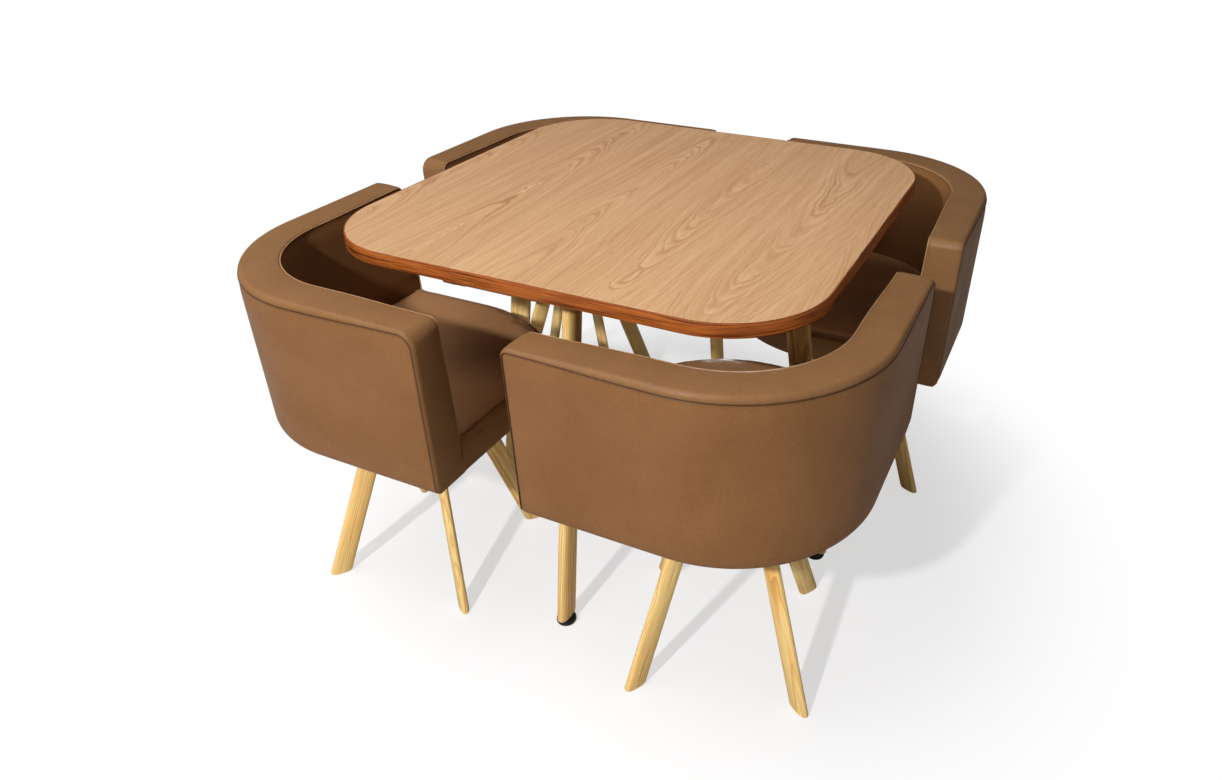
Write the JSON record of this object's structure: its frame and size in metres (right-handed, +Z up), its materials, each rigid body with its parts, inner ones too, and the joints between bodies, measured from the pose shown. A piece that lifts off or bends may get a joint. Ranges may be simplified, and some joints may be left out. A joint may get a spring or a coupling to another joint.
{
  "type": "dining table and chairs",
  "caption": "Square dining table with rounded corners on splayed wooden legs, with padded corner tub chairs on crossed leg frames that push in between the table's legs.",
  "frame": {"origin": "middle of the whole set's bounding box, on the floor", "axes": "+Z up, X and Y along the table top's sides, the front and left chairs on the -Y side"},
  "size_m": [1.231, 1.231, 0.75],
  "materials": {
    "oak_top": "oak laminate, satin",
    "edge_band": "stained edging, satin",
    "oak_leg": "clear-lacquered oak, satin",
    "rail_wood": "plain, lightly sealed",
    "glide_plastic": "black moulded",
    "outer_leather": "faux leather, satin",
    "inner_leather": "faux leather, satin",
    "rim_leather": "faux leather, satin, piped edges",
    "border_leather": "faux leather, satin, piped edges",
    "seat_leather": "faux leather, satin",
    "frame_wood": "raw plywood",
    "board_wood": "raw plywood",
    "plate_steel": "black satin"
  },
  "bodies": {
    "table": {"table_edge_band": "edge_band", "table_leg_back": "oak_leg", "table_leg_front": "oak_leg", "table_leg_left": "oak_leg", "table_leg_right": "oak_leg", "table_rail_x": "rail_wood", "table_rail_y": "rail_wood", "table_top": "oak_top"},
    "chair_left": {"chair_left_inner_panel": "inner_leather", "chair_left_leg_far": "oak_leg", "chair_left_leg_inner": "oak_leg", "chair_left_leg_near": "oak_leg", "chair_left_leg_outer": "oak_leg", "chair_left_leg_plate": "plate_steel", "chair_left_outer_panel": "outer_leather", "chair_left_rim_band": "rim_leather", "chair_left_seat_board": "board_wood", "chair_left_seat_border": "border_leather", "chair_left_seat_cushion": "seat_leather", "chair_left_wall_frame": "frame_wood"},
    "chair_front": {"chair_front_inner_panel": "inner_leather", "chair_front_leg_far": "oak_leg", "chair_front_leg_inner": "oak_leg", "chair_front_leg_near": "oak_leg", "chair_front_leg_outer": "oak_leg", "chair_front_leg_plate": "plate_steel", "chair_front_outer_panel": "outer_leather", "chair_front_rim_band": "rim_leather", "chair_front_seat_board": "board_wood", "chair_front_seat_border": "border_leather", "chair_front_seat_cushion": "seat_leather", "chair_front_wall_frame": "frame_wood"},
    "chair_right": {"chair_right_inner_panel": "inner_leather", "chair_right_leg_far": "oak_leg", "chair_right_leg_inner": "oak_leg", "chair_right_leg_near": "oak_leg", "chair_right_leg_outer": "oak_leg", "chair_right_leg_plate": "plate_steel", "chair_right_outer_panel": "outer_leather", "chair_right_rim_band": "rim_leather", "chair_right_seat_board": "board_wood", "chair_right_seat_border": "border_leather", "chair_right_seat_cushion": "seat_leather", "chair_right_wall_frame": "frame_wood"},
    "chair_back": {"chair_back_inner_panel": "inner_leather", "chair_back_leg_far": "oak_leg", "chair_back_leg_inner": "oak_leg", "chair_back_leg_near": "oak_leg", "chair_back_leg_outer": "oak_leg", "chair_back_leg_plate": "plate_steel", "chair_back_outer_panel": "outer_leather", "chair_back_rim_band": "rim_leather", "chair_back_seat_board": "board_wood", "chair_back_seat_border": "border_leather", "chair_back_seat_cushion": "seat_leather", "chair_back_wall_frame": "frame_wood"},
    "glide_front": {"table_glide_front": "glide_plastic"},
    "glide_right": {"table_glide_right": "glide_plastic"},
    "glide_back": {"table_glide_back": "glide_plastic"},
    "glide_left": {"table_glide_left": "glide_plastic"}
  },
  "joints": [
    {"name": "chair_left_slide", "type": "slide", "parent": "table", "child": "chair_left", "axis": [0.9292, 0.3697, 0], "range_m": [-0.25, 0.1]},
    {"name": "chair_front_slide", "type": "slide", "parent": "table", "child": "chair_front", "axis": [-0.8051, 0.5932, 0], "range_m": [-0.25, 0.0236]},
    {"name": "chair_right_slide", "type": "slide", "parent": "table", "child": "chair_right", "axis": [-0.3241, -0.946, 0], "range_m": [-0.25, 0.1141]},
    {"name": "chair_back_slide", "type": "slide", "parent": "table", "child": "chair_back", "axis": [0.7682, -0.6402, 0], "range_m": [-0.25, 0.1405]},
    {"name": "glide_front_turn", "type": "hinge", "parent": "table", "child": "glide_front", "pos_m": [0.0355, -0.41394, 0], "axis": [0, 0, 1], "continuous": true},
    {"name": "glide_right_turn", "type": "hinge", "parent": "table", "child": "glide_right", "pos_m": [0.41394, -0.0355, 0], "axis": [0, 0, 1], "continuous": true},
    {"name": "glide_back_turn", "type": "hinge", "parent": "table", "child": "glide_back", "pos_m": [0.0355, 0.34294, 0], "axis": [0, 0, 1], "continuous": true},
    {"name": "glide_left_turn", "type": "hinge", "parent": "table", "child": "glide_left", "pos_m": [-0.34294, -0.0355, 0], "axis": [0, 0, 1], "continuous": true}
  ]
}
